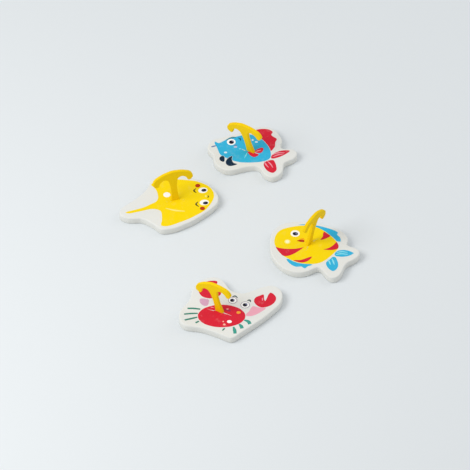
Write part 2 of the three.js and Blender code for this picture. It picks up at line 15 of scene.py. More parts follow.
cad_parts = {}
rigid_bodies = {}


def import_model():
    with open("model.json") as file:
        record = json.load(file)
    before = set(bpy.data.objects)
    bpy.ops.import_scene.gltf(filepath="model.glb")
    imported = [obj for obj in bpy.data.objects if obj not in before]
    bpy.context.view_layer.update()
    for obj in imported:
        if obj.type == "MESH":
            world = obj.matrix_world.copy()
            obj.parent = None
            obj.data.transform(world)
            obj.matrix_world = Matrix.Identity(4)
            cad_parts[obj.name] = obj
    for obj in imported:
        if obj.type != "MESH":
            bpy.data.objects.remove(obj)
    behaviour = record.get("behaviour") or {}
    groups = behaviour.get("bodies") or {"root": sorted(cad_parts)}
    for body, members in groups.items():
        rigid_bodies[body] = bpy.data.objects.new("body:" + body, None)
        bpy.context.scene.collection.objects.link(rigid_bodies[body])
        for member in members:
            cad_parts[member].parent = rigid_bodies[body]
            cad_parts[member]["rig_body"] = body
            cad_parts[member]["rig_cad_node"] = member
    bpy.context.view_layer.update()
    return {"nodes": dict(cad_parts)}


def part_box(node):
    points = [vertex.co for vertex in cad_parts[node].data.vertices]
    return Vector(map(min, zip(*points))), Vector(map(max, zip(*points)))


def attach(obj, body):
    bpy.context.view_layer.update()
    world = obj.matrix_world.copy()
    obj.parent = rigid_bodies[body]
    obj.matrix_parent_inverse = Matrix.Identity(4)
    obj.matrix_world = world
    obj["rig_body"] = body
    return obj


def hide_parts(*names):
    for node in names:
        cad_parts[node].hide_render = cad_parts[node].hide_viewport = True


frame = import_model()

MM = 0.001

# Curves are drawn a hundred times their size, because a small one fills badly
DRAWN = 100

# Foam sheet: its thickness, the rounded edge that the CAD node has and the one that is
# modelled here, and the rim between that edge and the flat faces
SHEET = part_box("ray_float")[1].z
SHEET_CAD_EDGE = 2.5 * MM
SHEET_EDGE = 1.6 * MM
SHEET_EDGE_STEPS = 4
SHEET_FLAT_RIM = 0.4 * MM

# The same for a double hook plate
PLATE = 4 * MM
PLATE_CAD_EDGE = 0.7 * MM
PLATE_EDGE = 0.6 * MM
PLATE_EDGE_STEPS = 3
PLATE_FLAT_RIM = 0.3 * MM

# Opening that the plate is pushed into, in millimetres in the plate's own frame: half its
# length and half its width, and how far its corners are cut off
OPENING_HALF_LENGTH = 5.3
OPENING_HALF_WIDTH = 2.05
OPENING_CORNER = 0.5
CORNER_CLEARANCE = OPENING_CORNER / 4

# The slit's closed ends, left and right, each from where it leaves the opening to its tip
SLIT_ENDS = {
    "blue_fish": (((-6.4, -3.5), (-14, -3.2)), ((6.9, 0.5), (14, 1.6))),
    "ray": (((-7.0, -3.0), (-16, -1.6)), ((6.3, -3.5), (15.9, -4.4))),
    "striped_fish": (((-5.8, -2.4), (-13.7, -3.8)), ((5.6, -2.7), (15.1, -6.6))),
    "crab": (((-6.4, -3.3), (-15.6, -5.5)), ((6.5, -0.2), (18.2, 0.8))),
}

# How wide a closed end is in the foam, and in the prints, where it shows white foam, both in
# millimetres, and how far from its plate a slit may cut a print
FOAM_SLIT = 0.2
PRINT_SLITS = {"blue_fish": 1.1, "ray": 0.2, "striped_fish": 0.6, "crab": 1.2}
SLIT_REACH = 16 * MM

# One pass of ink, and the facets of a stroke, a dot and a ring of it
INK = 0.06 * MM
STROKE_SIDES = 3
STROKE_STEPS = 8
DOT_SIDES = 36
RING_POINTS = 8

# A dot's shoulder: its share of the dot's thickness and of the dot's radius
SHOULDER_HEIGHT = 0.6
SHOULDER_RADIUS = 0.92

# How far a curve may turn at a point before its corner is drawn sharp: in a section through
# a CAD node, in an outline drawn from listed points, and where every corner is sharp
SHARP_TURN = math.radians(52)
DRAWN_SHARP_TURN = math.radians(100)
ALWAYS_SHARP = -1
CURVE_STEPS = 5

# How near a section runs to the end of a wall, so that the wall's diagonals add no points
NEAR_WALL_END = 0.02

# Points that are nearer than this count as one: in a CAD node, in a section and in a mesh
SAME_CAD_POINT = 0.001 * MM
SAME_POINT = 0.3 * MM
SHORTEST_EDGE = 0.004 * MM

# A level face's normal has at least this much Z, and a flatter edge than this shades smooth
LEVEL = 0.9999
SMOOTH_ANGLE = math.radians(35)

# Where each plate enters the foam, in millimetres, and its turn, lean and tilt in degrees
HOOK_PLACES = {
    "blue_fish": ((14.12, 143.28), -33.5, 12, 6.5),
    "ray": ((-80.63, 58.40), 16.5, 4.5, -3),
    "striped_fish": ((86.41, -19.70), 58.5, -14.5, 5),
    "crab": ((-24.84, -139.65), -31.5, 13.5, 3.5),
}

# Each animal's prints by their CAD nodes: the ink, and how many prints lie under it, where a
# part of one lifts a print over the edges of its neighbours
PRINTS = {
    "blue_fish": {
        "body": ("blue", 0),
        "fin_back": ("red", 0),
        "tail_upper": ("red", 0),
        "tail_lower": ("red", 0),
        "fin_front": ("navy", 0),
        "fin_rear": ("navy", 0),
        "fin_side_lower": ("red", 1),
        "fin_side_upper": ("red", 1),
        "eye": ("white", 1),
        "pupil": ("black", 2),
    },
    "ray": {
        "body": ("yellow", 0),
        "eye_right": ("white", 1),
        "eye_left": ("white", 1),
        "pupil_right": ("black", 2),
        "pupil_left": ("black", 2),
        "cheek_right": ("rust", 1),
        "cheek_left": ("rust", 1),
        "spot": ("white", 1),
    },
    "striped_fish": {
        "body": ("yellow", 0.4),
        "stripe_chin": ("red", 1),
        "stripe_belly": ("red", 1),
        "stripe_back": ("red", 1),
        "stripe_tail": ("red", 1),
        "fin_upper": ("blue", 0),
        "fin_lower": ("blue", 0),
        "tail_upper": ("blue", 0),
        "tail_lower": ("blue", 0),
        "eye": ("white", 1),
        "pupil": ("black", 2),
    },
    "crab": {
        "shell": ("red", 0.4),
        "claw_right": ("red", 0),
        "claw_left": ("red", 0),
        "arm_left": ("mauve", 0),
        "arm_right": ("pink", 0),
        "eye_left": ("white", 0),
        "eye_right": ("white", 0),
        "pupil_left": ("black", 1),
        "pupil_right": ("black", 1),
    },
}

# Prints that are larger than their CAD nodes, and how many times as wide and deep
ENLARGED = {
    "blue_fish_eye": 1.1,
    "blue_fish_pupil": 1.2,
    "ray_cheek_right": 1.2,
    "ray_cheek_left": 1.2,
    "striped_fish_eye": 1.07,
    "striped_fish_pupil": 1.12,
    "crab_claw_right": 1.02,
    "crab_eye_right": 1.08,
    "crab_eye_left": 1.05,
    "crab_pupil_right": 1.15,
    "crab_pupil_left": 1.1,
}

# Prints that are drawn from listed points: the points, in millimetres, that their outlines run
# through
DRAWN_PRINTS = {
    "blue_fish_fin_side_lower": [
        (9.6, 141.7), (11.9, 137.5), (14.9, 134.0), (17.9, 132.6), (21.1, 133.6), (23.6, 136.8),
        (20.9, 139.6), (17.9, 141.4), (13.4, 142.5),
    ],
    "blue_fish_fin_side_upper": [
        (18.4, 142.1), (21.1, 145.6), (24.9, 148.1), (28.4, 149.0), (29.9, 147.4), (29.1, 143.9),
        (26.9, 140.3), (23.4, 139.6), (20.4, 140.7),
    ],
    "striped_fish_body": [
        (43.4, -18.6), (43.8, -12.0), (45.4, -5.4), (48.4, 0.3), (53.1, 4.6), (59.3, 7.4),
        (67.9, 9.8), (76.5, 11.2), (85.4, 11.4), (94.0, 9.4), (101.8, 5.0), (110.2, -2.4),
        (118.0, -12.4), (122.6, -20.3), (123.8, -25.4), (121.9, -31.2), (118.0, -37.0),
        (113.0, -43.4), (107.4, -49.4), (100.6, -54.2), (91.7, -56.4), (82.7, -56.0),
        (74.9, -54.4), (67.1, -51.0), (60.9, -47.0), (55.0, -42.2), (50.0, -36.4), (46.4, -29.4),
    ],
    "striped_fish_stripe_chin": [
        (44.9, -26.1), (49.9, -28.2), (58.5, -29.6), (67.9, -29.6), (74.9, -28.4), (80.4, -26.5),
        (76.5, -30.8), (71.8, -35.2), (66.3, -39.4), (60.1, -42.2), (55.0, -42.1), (50.8, -37.2),
        (47.4, -31.6),
    ],
    "striped_fish_stripe_tail": [
        (104.1, -30.6), (110.4, -28.6), (115.9, -24.4), (119.2, -20.2), (120.9, -17.4),
        (123.0, -21.6), (123.6, -25.6), (122.8, -28.9), (119.6, -30.9), (113.6, -31.9),
    ],
    "striped_fish_tail_upper": [
        (118.8, -38.6), (122.2, -33.6), (127.1, -31.8), (135.4, -32.7), (143.0, -37.2),
        (137.5, -41.5), (130.5, -43.5), (124.0, -43.3), (119.4, -41.6),
    ],
    "crab_shell": [
        (7.2, -148.4), (3.2, -138.5), (-7.7, -131.2), (-22.5, -128.5), (-37.4, -131.2),
        (-48.2, -138.5), (-52.2, -148.4), (-48.2, -158.4), (-37.4, -165.6), (-22.5, -168.3),
        (-7.7, -165.6), (3.2, -158.4),
    ],
    "crab_claw_left": [
        (-51.6, -99.4), (-51.1, -104.8), (-48.9, -111.0), (-45.4, -114.8), (-40.6, -116.7),
        (-35.0, -117.1), (-29.5, -115.8), (-25.6, -112.8), (-23.4, -109.0), (-24.0, -105.6),
        (-28.3, -106.4), (-33.6, -103.4), (-30.4, -97.5), (-28.4, -91.6), (-28.2, -87.3),
        (-34.3, -86.1), (-40.2, -87.1), (-46.1, -89.8), (-50.0, -94.1),
    ],
    "crab_arm_left": [
        (-49.6, -118.6), (-49.9, -122.4), (-48.4, -126.7), (-45.6, -129.7), (-42.0, -130.6),
        (-39.4, -128.2), (-38.6, -123.5), (-38.9, -119.4), (-42.0, -118.3), (-46.1, -117.3),
    ],
}

# Ends of a stroke, as shares of its width
STROKE_ENDS = (0.4, 0.4)

# Small marks over the prints, and the crab's legs, in millimetres: a stroke is its width and
# the points that it runs through, a ring its width, middle and radius, a dot its middle and
# its two radii, and a patch the points that its outline runs through. A layer counts the
# prints under a mark, ends are a stroke's, and nodes the CAD nodes that it stands for.
MARKS = {
    "blue_fish_mouth": {
        "body": "blue_fish", "ink": "dusk", "layer": 0.4, "ends": (0.7, 0.7),
        "strokes": [(2.3, [(-35.4, 150.4), (-32.6, 151.6), (-28.9, 152.7)])],
    },
    "blue_fish_brow": {
        "body": "blue_fish", "ink": "deep_blue", "layer": 1,
        "strokes": [(2.2, [(-2.1, 166.3), (0.4, 165.1), (1.3, 161.6)])],
    },
    "blue_fish_eyelid": {
        "body": "blue_fish", "ink": "sea", "layer": 1.4, "ends": (0.7, 0.6),
        "strokes": [(2.4, [(-16.4, 162.6), (-12.5, 165.5), (-8.4, 167.2), (-4.8, 167.4)])],
    },
    "blue_fish_pupil_light": {
        "body": "blue_fish", "ink": "grey", "layer": 3,
        "dots": [((-8.6, 160.5), (1.1, 1.3))],
    },
    "blue_fish_cheek": {
        "body": "blue_fish", "ink": "lavender", "layer": 1,
        "dots": [((-5.2, 150.4), (2.3, 1.5))],
    },
    "blue_fish_cheek_shade": {
        "body": "blue_fish", "ink": "dusk", "layer": 1,
        "dots": [((-5.2, 153.3), (1.9, 1.2))],
    },
    "blue_fish_light_scales": {
        "body": "blue_fish", "ink": "pale_sky", "layer": 1,
        "dots": [
            ((-17.6, 140.7), (2.1, 1.5)), ((21.0, 159.2), (1.9, 1.5)), ((16.2, 162.6), (1.3, 1.6)),
        ],
    },
    "blue_fish_pale_scales": {
        "body": "blue_fish", "ink": "pale_blue", "layer": 1,
        "strokes": [(1.3, [(9.4, 140.2), (8.0, 136.1), (6.1, 130.5)])],
        "dots": [((0.2, 147.1), (1.2, 0.9))],
    },
    "blue_fish_side_fin_veins": {
        "body": "blue_fish", "ink": "rose", "layer": 2,
        "strokes": [
            (2.0, [(19.6, 142.1), (22.8, 143.5), (26.8, 144.9)]),
        ],
    },
    "blue_fish_tail_veins": {
        "body": "blue_fish", "ink": "rose", "layer": 1,
        "strokes": [
            (1.9, [(40.6, 136.4), (47.7, 140.0), (56.4, 140.5)]),
            (1.9, [(41.2, 132.8), (48.6, 136.6), (55.4, 138.2)]),
            (1.9, [(30.6, 124.8), (32.9, 119.3), (36.2, 114.1)]),
            (1.9, [(34.6, 125.5), (38.5, 120.4), (41.6, 113.7)]),
        ],
    },
    "ray_eyelids": {
        "body": "ray", "ink": "olive", "layer": 1,
        "strokes": [
            (2.3, [(-54.6, 77.1), (-57.0, 73.2), (-54.2, 69.3)]),
            (2.3, [(-52.0, 53.5), (-54.4, 49.1), (-51.1, 44.9)]),
        ],
    },
    "ray_mouth": {
        "body": "ray", "ink": "olive", "layer": 1,
        "strokes": [(1.6, [(-39.8, 64.8), (-39.0, 62.7), (-40.1, 60.6)])],
    },
    "ray_light_marks": {
        "body": "ray", "ink": "cream", "layer": 1,
        "strokes": [(2.8, [(-92.3, 41.9), (-80.4, 38.2), (-68.4, 36.8)])],
        "dots": [((-42.3, 63.6), (1.3, 1.4))],
    },
    "ray_pupil_lights": {
        "body": "ray", "ink": "grey", "layer": 3,
        "strokes": [
            (0.9, [(-46.6, 73.0), (-45.6, 74.0), (-44.4, 74.4)]),
            (0.9, [(-44.8, 50.4), (-43.8, 51.4), (-42.6, 51.8)]),
        ],
    },
    "striped_fish_gill_glow": {
        "body": "striped_fish", "ink": "amber", "layer": 1,
        "patches": [[
            (74.2, -13.9), (76.2, -11.4), (78.7, -10.5), (80.7, -12.2), (81.2, -15.4),
            (77.7, -15.8),
        ]],
    },
    "striped_fish_gill": {
        "body": "striped_fish", "ink": "rust", "layer": 2,
        "patches": [[
            (71.2, -15.5), (74.6, -14.0), (77.7, -13.6), (79.9, -14.3), (80.9, -16.0),
            (80.2, -17.6), (77.7, -17.7), (74.6, -16.9),
        ]],
    },
    "striped_fish_cheek_glow": {
        "body": "striped_fish", "ink": "cream", "layer": 1,
        "dots": [((59.7, -17.0), (3.7, 3.8))],
    },
    "striped_fish_cheek": {
        "body": "striped_fish", "ink": "pale_cream", "layer": 2,
        "dots": [((59.7, -17.0), (2.3, 2.4))],
    },
    "striped_fish_tail_veins": {
        "body": "striped_fish", "ink": "pale_blue", "layer": 1, "ends": (0.6, 0.5),
        "strokes": [
            (2.2, [(121.2, -36.2), (127.1, -34.8), (134.9, -35.9)]),
            (2.2, [(120.4, -39.8), (126.4, -38.5), (135.4, -39.6)]),
            (2.2, [(110.5, -48.6), (112.3, -53.2), (113.6, -57.8)]),
            (2.2, [(115.4, -46.9), (117.0, -52.2), (118.4, -57.6)]),
        ],
    },
    "striped_fish_pupil_light": {
        "body": "striped_fish", "ink": "grey", "layer": 3,
        "dots": [((71.0, -2.9), (1.3, 1.9))],
    },
    "crab_legs_left": {
        "body": "crab", "ink": "deep_teal", "layer": 0, "ends": (0.9, 0.8),
        "nodes": ["crab_leg_left_1", "crab_leg_left_2", "crab_leg_left_3", "crab_leg_left_4"],
        "strokes": [
            (2.9, [(-65.2, -134.9), (-57.5, -135.0), (-49.2, -136.3)]),
            (2.7, [(-69.4, -145.1), (-60.9, -144.0), (-52.4, -143.7)]),
            (2.8, [(-68.8, -155.5), (-60.3, -152.9), (-53.0, -150.5)]),
            (2.6, [(-55.1, -160.4), (-53.0, -159.0), (-50.9, -157.4)]),
        ],
    },
    "crab_legs_right": {
        "body": "crab", "ink": "teal", "layer": 0, "ends": (0.5, 0.95),
        "nodes": ["crab_leg_right_1", "crab_leg_right_2", "crab_leg_right_3"],
        "strokes": [
            (4.7, [(5.8, -155.6), (10.6, -158.0), (13.0, -162.6)]),
            (4.6, [(-0.6, -162.8), (1.9, -166.3), (3.0, -170.4)]),
            (4.3, [(-7.7, -167.6), (-6.3, -173.4), (-5.7, -179.4)]),
        ],
    },
    "crab_leg_right_last": {
        "body": "crab", "ink": "deep_teal", "layer": 0,
        "nodes": ["crab_leg_right_4"],
        "strokes": [(2.5, [(-18.4, -169.6), (-20.0, -171.9), (-21.6, -174.3)])],
    },
    "crab_eye_rims": {
        "body": "crab", "ink": "rim_grey", "layer": 1,
        "rings": [(0.8, (-8.71, -120.81), 5.3), (0.8, (6.9, -128.83), 5.4)],
    },
    "crab_pupil_lights": {
        "body": "crab", "ink": "grey", "layer": 2,
        "dots": [((-7.5, -120.0), (1.1, 1.4)), ((8.5, -127.5), (1.2, 1.5))],
    },
    "crab_shell_line": {
        "body": "crab", "ink": "rose", "layer": 1,
        "strokes": [(1.6, [(-36.6, -132.4), (-34.4, -133.0), (-31.9, -133.6)])],
    },
    # Painted shadow of the hook's stem on the crab's shell, to the right of its foot
    "crab_shell_shade": {
        "body": "crab", "ink": "plum", "layer": 1,
        "dots": [((-17.4, -137.4), (1.6, 1.4)), ((-13.4, -139.0), (2.2, 1.6))],
    },
    "crab_shell_light": {
        "body": "crab", "ink": "white", "layer": 1,
        "dots": [((-12.8, -158.4), (3.0, 2.6))],
    },
    "crab_shell_faint_lights": {
        "body": "crab", "ink": "blush", "layer": 1.4,
        "dots": [
            ((-19.2, -163.4), (1.6, 1.7)), ((-20.5, -158.2), (1.0, 1.1)),
            ((-15.2, -136.2), (1.5, 0.9)),
        ],
    },
    "crab_shell_spot": {
        "body": "crab", "ink": "orange", "layer": 1,
        "dots": [((-1.4, -142.2), (2.6, 2.3))],
    },
    "crab_brows": {
        "body": "crab", "ink": "slate", "layer": 1,
        "strokes": [
            (2.2, [(-9.4, -114.7), (-5.8, -113.2), (-2.6, -116.4)]),
            (2.6, [(9.6, -121.4), (12.3, -120.4), (13.6, -123.8)]),
        ],
    },
    "crab_claw_light": {
        "body": "crab", "ink": "rose", "layer": 1,
        "strokes": [(1.7, [(28.2, -116.2), (28.6, -118.9), (28.5, -121.4)])],
    },
}

# Each ink: its colour, the slot that it belongs to, and how patchy it lies
INKS = {
    "blue": ((50, 180, 222), "ink_blue", 0.2),
    "red": ((216, 34, 56), "ink_red", 0.2),
    "navy": ((10, 42, 66), "ink_navy", 0.1),
    "yellow": ((250, 218, 0), "ink_yellow", 0.12),
    "teal": ((66, 158, 142), "ink_teal", 0.2),
    "pink": ((240, 170, 188), "ink_pink", 0.5),
    "rust": ((188, 58, 8), "ink_rust", 0.3),
    "white": ((252, 252, 250), "ink_white", 0.1),
    "black": ((22, 17, 32), "ink_black", 0.1),
    "slate": ((70, 84, 84), "ink_navy", 0.2),
    "dusk": ((108, 132, 172), "ink_navy", 0.2),
    "deep_blue": ((24, 92, 134), "ink_navy", 0.2),
    "deep_teal": ((60, 134, 114), "ink_teal", 0.2),
    "sea": ((64, 136, 152), "ink_teal", 0.2),
    "lavender": ((188, 198, 226), "ink_white", 0.2),
    "grey": ((112, 112, 146), "ink_white", 0.2),
    "rim_grey": ((162, 146, 166), "ink_white", 0.2),
    "mauve": ((212, 164, 190), "ink_pink", 0.5),
    "pale_blue": ((136, 226, 244), "ink_white", 0.2),
    "pale_sky": ((218, 236, 250), "ink_white", 0.2),
    "rose": ((246, 152, 166), "ink_pink", 0.25),
    "olive": ((92, 82, 14), "ink_black", 0.2),
    "blush": ((250, 186, 168), "ink_pink", 0.2),
    "cream": ((254, 238, 132), "ink_white", 0.2),
    "pale_cream": ((255, 252, 206), "ink_white", 0.2),
    "orange": ((248, 168, 56), "ink_yellow", 0.25),
    "amber": ((246, 176, 24), "ink_yellow", 0.2),
    "plum": ((168, 44, 96), "ink_red", 0.25),
}

# Foam and floor; the foam's painted shade, a deeper tone, darkens the lower parts of the foam
# sheets towards the floor and of the hook plates towards the foam
FOAM_COLOUR = (229, 230, 226)
FOAM_PAINTED_SHADE = (208, 207, 200)
HOOK_COLOUR = (248, 209, 0)
HOOK_PAINTED_SHADE = (243, 199, 0)
FLOOR_COLOUR = (226, 231, 234)


def linear(colour):
    """A colour of 0 to 255 as the linear colour, with alpha, that Blender's shaders use."""
    parts = [part / 255 for part in colour]
    return [p / 12.92 if p <= 0.04045 else ((p + 0.055) / 1.055) ** 2.4 for p in parts] + [1]


# Modelling

def pick(piece):
    """Selects one piece alone and makes it the active one."""
    bpy.ops.object.select_all(action="DESELECT")
    piece.select_set(True)
    bpy.context.view_layer.objects.active = piece
    return piece


def apply_place(piece, matrix):
    """Puts a piece where a matrix says, and leaves its object at the origin."""
    pick(piece)
    piece.matrix_basis = matrix @ piece.matrix_basis
    bpy.ops.object.transform_apply(location=True, rotation=True, scale=True)
    return piece


def duplicate(piece, name):
    """A copy of a piece with a mesh of its own."""
    pick(piece)
    bpy.ops.object.duplicate(linked=False)
    copy = bpy.context.active_object
    copy.name = copy.data.name = name
    return copy


def copy_node(node, name):
    """A merged copy of a CAD node, free of its body."""
    copy = duplicate(frame["nodes"][node], name)
    bpy.ops.object.parent_clear(type="CLEAR_KEEP_TRANSFORM")
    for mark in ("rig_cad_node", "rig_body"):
        del copy[mark]
    copy.data.materials.clear()
    bpy.ops.object.mode_set(mode="EDIT")
    bpy.ops.mesh.select_all(action="SELECT")
    bpy.ops.mesh.remove_doubles(threshold=SAME_CAD_POINT)
    bpy.ops.object.mode_set(mode="OBJECT")
    return copy


def close_mesh(piece, distance):
    """Joins points that lie together, and turns all faces outward."""
    pick(piece)
    bpy.ops.object.mode_set(mode="EDIT")
    bpy.ops.mesh.select_all(action="SELECT")
    bpy.ops.mesh.remove_doubles(threshold=distance)
    bpy.ops.mesh.normals_make_consistent(inside=False)
    bpy.ops.object.mode_set(mode="OBJECT")
    return piece


def cut_outline(piece, height):
    """Keeps only the closed lines where a level plane cuts the piece, drawn at curve size."""
    apply_place(piece, Matrix.Scale(DRAWN, 4))
    bpy.ops.object.mode_set(mode="EDIT")
    bpy.ops.mesh.select_all(action="SELECT")
    bpy.ops.mesh.bisect(
        plane_co=(0, 0, height * DRAWN), plane_no=(0, 0, 1), clear_inner=True,
        clear_outer=True, threshold=SAME_CAD_POINT,
    )
    bpy.ops.mesh.select_all(action="SELECT")
    bpy.ops.mesh.remove_doubles(threshold=SAME_POINT * DRAWN)
    bpy.ops.object.mode_set(mode="OBJECT")
    return piece


def sharpen_corners(piece, sharp_turn):
    """Draws the corners sharp where a curve turns by more than an angle."""
    for spline in piece.data.splines:
        knots = spline.bezier_points
        for i, knot in enumerate(knots):
            before = knot.co - knots[i - 1].co
            after = knots[(i + 1) % len(knots)].co - knot.co
            if before.angle(after, 0) > sharp_turn:
                knot.handle_left_type = knot.handle_right_type = "VECTOR"
    return piece


def smooth_outline(piece, outer_only):
    """Turns closed lines into curves that are smooth but for their sharp corners."""
    pick(piece)
    bpy.ops.object.convert(target="CURVE")
    splines = bpy.context.active_object.data.splines
    if outer_only:
        longest = max(len(spline.points) for spline in splines)
        for spline in [s for s in splines if len(s.points) < longest]:
            splines.remove(spline)
    bpy.ops.object.mode_set(mode="EDIT")
    bpy.ops.curve.select_all(action="SELECT")
    bpy.ops.curve.spline_type_set(type="BEZIER")
    bpy.ops.curve.handle_type_set(type="AUTOMATIC")
    bpy.ops.object.mode_set(mode="OBJECT")
    return sharpen_corners(piece, SHARP_TURN)


def draw_line(name, points, cyclic):
    """A smooth curve, drawn at curve size through points given in millimetres."""
    bpy.ops.object.select_all(action="DESELECT")
    bpy.ops.curve.primitive_bezier_curve_add(location=(0, 0, 0))
    line = bpy.context.active_object
    line.name = line.data.name = name
    spline = line.data.splines[0]
    spline.use_cyclic_u = cyclic
    spline.bezier_points.add(len(points) - len(spline.bezier_points))
    for knot, (x, y) in zip(spline.bezier_points, points):
        knot.co = Vector((x, y, 0)) * MM * DRAWN
        knot.handle_left_type = knot.handle_right_type = "AUTO"
    return line


def fill_outline(piece, thickness, edge, edge_steps):
    """Fills curves to a sheet with rounded edges, half above and half below Z = 0."""
    drawing = piece.data
    drawing.dimensions = "2D"
    drawing.fill_mode = "BOTH"
    drawing.resolution_u = CURVE_STEPS
    drawing.extrude = (thickness / 2 - edge) * DRAWN
    drawing.bevel_depth = edge * DRAWN
    drawing.bevel_resolution = edge_steps
    drawing.offset = -edge * DRAWN
    pick(piece)
    bpy.ops.object.convert(target="MESH")
    apply_place(piece, Matrix.Scale(1 / DRAWN, 4))
    return close_mesh(piece, SHORTEST_EDGE)


def select_level_faces(piece, side):
    """Selects the level faces on top, for a side of 1, or below, for -1, in edit mode."""
    pick(piece)
    bpy.ops.object.mode_set(mode="EDIT")
    bpy.ops.mesh.select_mode(type="FACE")
    bpy.ops.mesh.select_all(action="DESELECT")
    bpy.ops.object.mode_set(mode="OBJECT")
    for face in piece.data.polygons:
        face.select = face.normal.z * side > LEVEL
    bpy.ops.object.mode_set(mode="EDIT")


def level_faces(piece, rim):
    """Gives both level faces one flat face inside a narrow rim, so that they shade level."""
    for side in (1, -1):
        select_level_faces(piece, side)
        bpy.ops.mesh.inset(thickness=rim, depth=0, use_boundary=True, use_even_offset=False)
        bpy.ops.mesh.dissolve_faces()
        bpy.ops.object.mode_set(mode="OBJECT")
    return piece


def shade(piece):
    """Shades a piece smooth, but for its sharp edges."""
    pick(piece)
    bpy.ops.object.shade_smooth_by_angle(angle=SMOOTH_ANGLE)
    return piece


def hook_place(animal):
    """The frame of an animal's plate: its face's foot, X along the plate and Z up it."""
    (x, y), turn, lean, tilt = HOOK_PLACES[animal]
    turned = Matrix.Rotation(math.radians(turn), 4, "Z")
    tilted = Matrix.Rotation(math.radians(tilt), 4, "X")
    leaned = Matrix.Rotation(math.radians(-lean), 4, "Y")
    return Matrix.Translation((x * MM, y * MM, SHEET)) @ turned @ tilted @ leaned


def slit_side(side, end, width):
    """Half of a slit's outline, from its front corner round the tip of its closed end."""
    (x, y), tip = end
    corner = OPENING_HALF_WIDTH - OPENING_CORNER
    half = width / 2
    farthest = corner - half - CORNER_CLEARANCE
    join = max(-farthest, min(farthest, y))
    length = side * OPENING_HALF_LENGTH
    inner = side * (OPENING_HALF_LENGTH - OPENING_CORNER)
    return [
        (inner, -OPENING_HALF_WIDTH), (length, -corner), (length, join - half), (x, y - half), tip,
        (x, y + half), (length, join + half), (length, corner), (inner, OPENING_HALF_WIDTH),
    ]


def make_slit_blade(animal, width):
    """The shape of the opened slit, which is cut out of the foam and its prints."""
    left, right = SLIT_ENDS[animal]
    outline = slit_side(1, right, width) + slit_side(-1, left, width)[::-1]
    blade = draw_line(animal + "_slit_blade", outline, cyclic=True)
    sharpen_corners(blade, ALWAYS_SHARP)
    fill_outline(blade, 4 * SHEET, edge=0, edge_steps=0)
    return apply_place(blade, hook_place(animal))


def cut_slit(piece, blade):
    """Cuts an animal's slit out of a piece that lies over it."""
    pick(piece)
    cut = piece.modifiers.new("slit", "BOOLEAN")
    cut.operation = "DIFFERENCE"
    cut.solver = "EXACT"
    cut.object = blade
    bpy.ops.object.modifier_apply(modifier=cut.name)
    return piece


def over_slit(node, animal):
    """Whether a print comes near the middle of the animal's slit."""
    low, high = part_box(node)
    x, y = HOOK_PLACES[animal][0]
    across = low.x - SLIT_REACH < x * MM < high.x + SLIT_REACH
    return across and low.y - SLIT_REACH < y * MM < high.y + SLIT_REACH


def fill_ink(piece, layer):
    """Fills an outline with one pass of ink, which lies on a number of others."""
    fill_outline(piece, INK, edge=INK / 2, edge_steps=1)
    return apply_place(piece, Matrix.Translation((0, 0, SHEET + (layer + 0.5) * INK)))


def draw_patch(name, points, layer):
    """A patch of ink, whose smooth outline runs through points given in millimetres."""
    outline = draw_line(name, points, cyclic=True)
    sharpen_corners(outline, DRAWN_SHARP_TURN)
    return fill_ink(outline, layer)


def make_float(animal, blade):
    """An animal's foam sheet, with its slit."""
    node = animal + "_float"
    piece = copy_node(node, animal + "_foam_sheet")
    wall = SHEET - 2 * SHEET_CAD_EDGE
    cut_outline(piece, SHEET_CAD_EDGE + NEAR_WALL_END * wall)
    smooth_outline(piece, outer_only=True)
    fill_outline(piece, SHEET, SHEET_EDGE, SHEET_EDGE_STEPS)
    level_faces(piece, SHEET_FLAT_RIM)
    apply_place(piece, Matrix.Translation((0, 0, SHEET / 2)))
    cut_slit(piece, blade)
    shade(piece)
    return dress(piece, animal, "foam_white", [node])


def make_print(animal, name, blade):
    """One pass of ink on an animal's foam or on its other prints."""
    node = f"{animal}_{name}"
    ink, layer = PRINTS[animal][name]
    cut = over_slit(node, animal) and (layer < 1 or node in DRAWN_PRINTS)
    if node in DRAWN_PRINTS:
        piece = draw_patch(f"{animal}_printed_{name}", DRAWN_PRINTS[node], layer)
    else:
        low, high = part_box(node)
        middle = Matrix.Translation((low + high) / 2)
        times = ENLARGED.get(node, 1)
        wider = Matrix.Diagonal((times, times, 1, 1))
        piece = copy_node(node, f"{animal}_printed_{name}")
        apply_place(piece, middle @ wider @ middle.inverted())
        cut_outline(piece, low.z + NEAR_WALL_END * (high.z - low.z))
        smooth_outline(piece, outer_only=cut)
        fill_ink(piece, layer)
    if cut:
        cut_slit(piece, blade)
    return dress(piece, animal, INKS[ink][1], [node], ink)


def make_plate_pattern():
    """The double hook in its own frame, with its face's foot at the origin."""
    pattern = copy_node("ray_hook", "plate_pattern")
    own_frame = Matrix.Rotation(math.radians(-90), 4, "X") @ hook_place("ray").inverted()
    apply_place(pattern, own_frame)
    wall = PLATE - 2 * PLATE_CAD_EDGE
    cut_outline(pattern, NEAR_WALL_END * wall - wall / 2)
    smooth_outline(pattern, outer_only=True)
    fill_outline(pattern, PLATE, PLATE_EDGE, PLATE_EDGE_STEPS)
    level_faces(pattern, PLATE_FLAT_RIM)
    return apply_place(pattern, Matrix.Rotation(math.radians(90), 4, "X"))


def make_hook(animal, pattern):
    """An animal's double hook plate, in its place."""
    piece = duplicate(pattern, animal + "_hook_plate")
    apply_place(piece, hook_place(animal))
    shade(piece)
    return dress(piece, animal + "_double_hook", "hook_yellow", [animal + "_hook"])


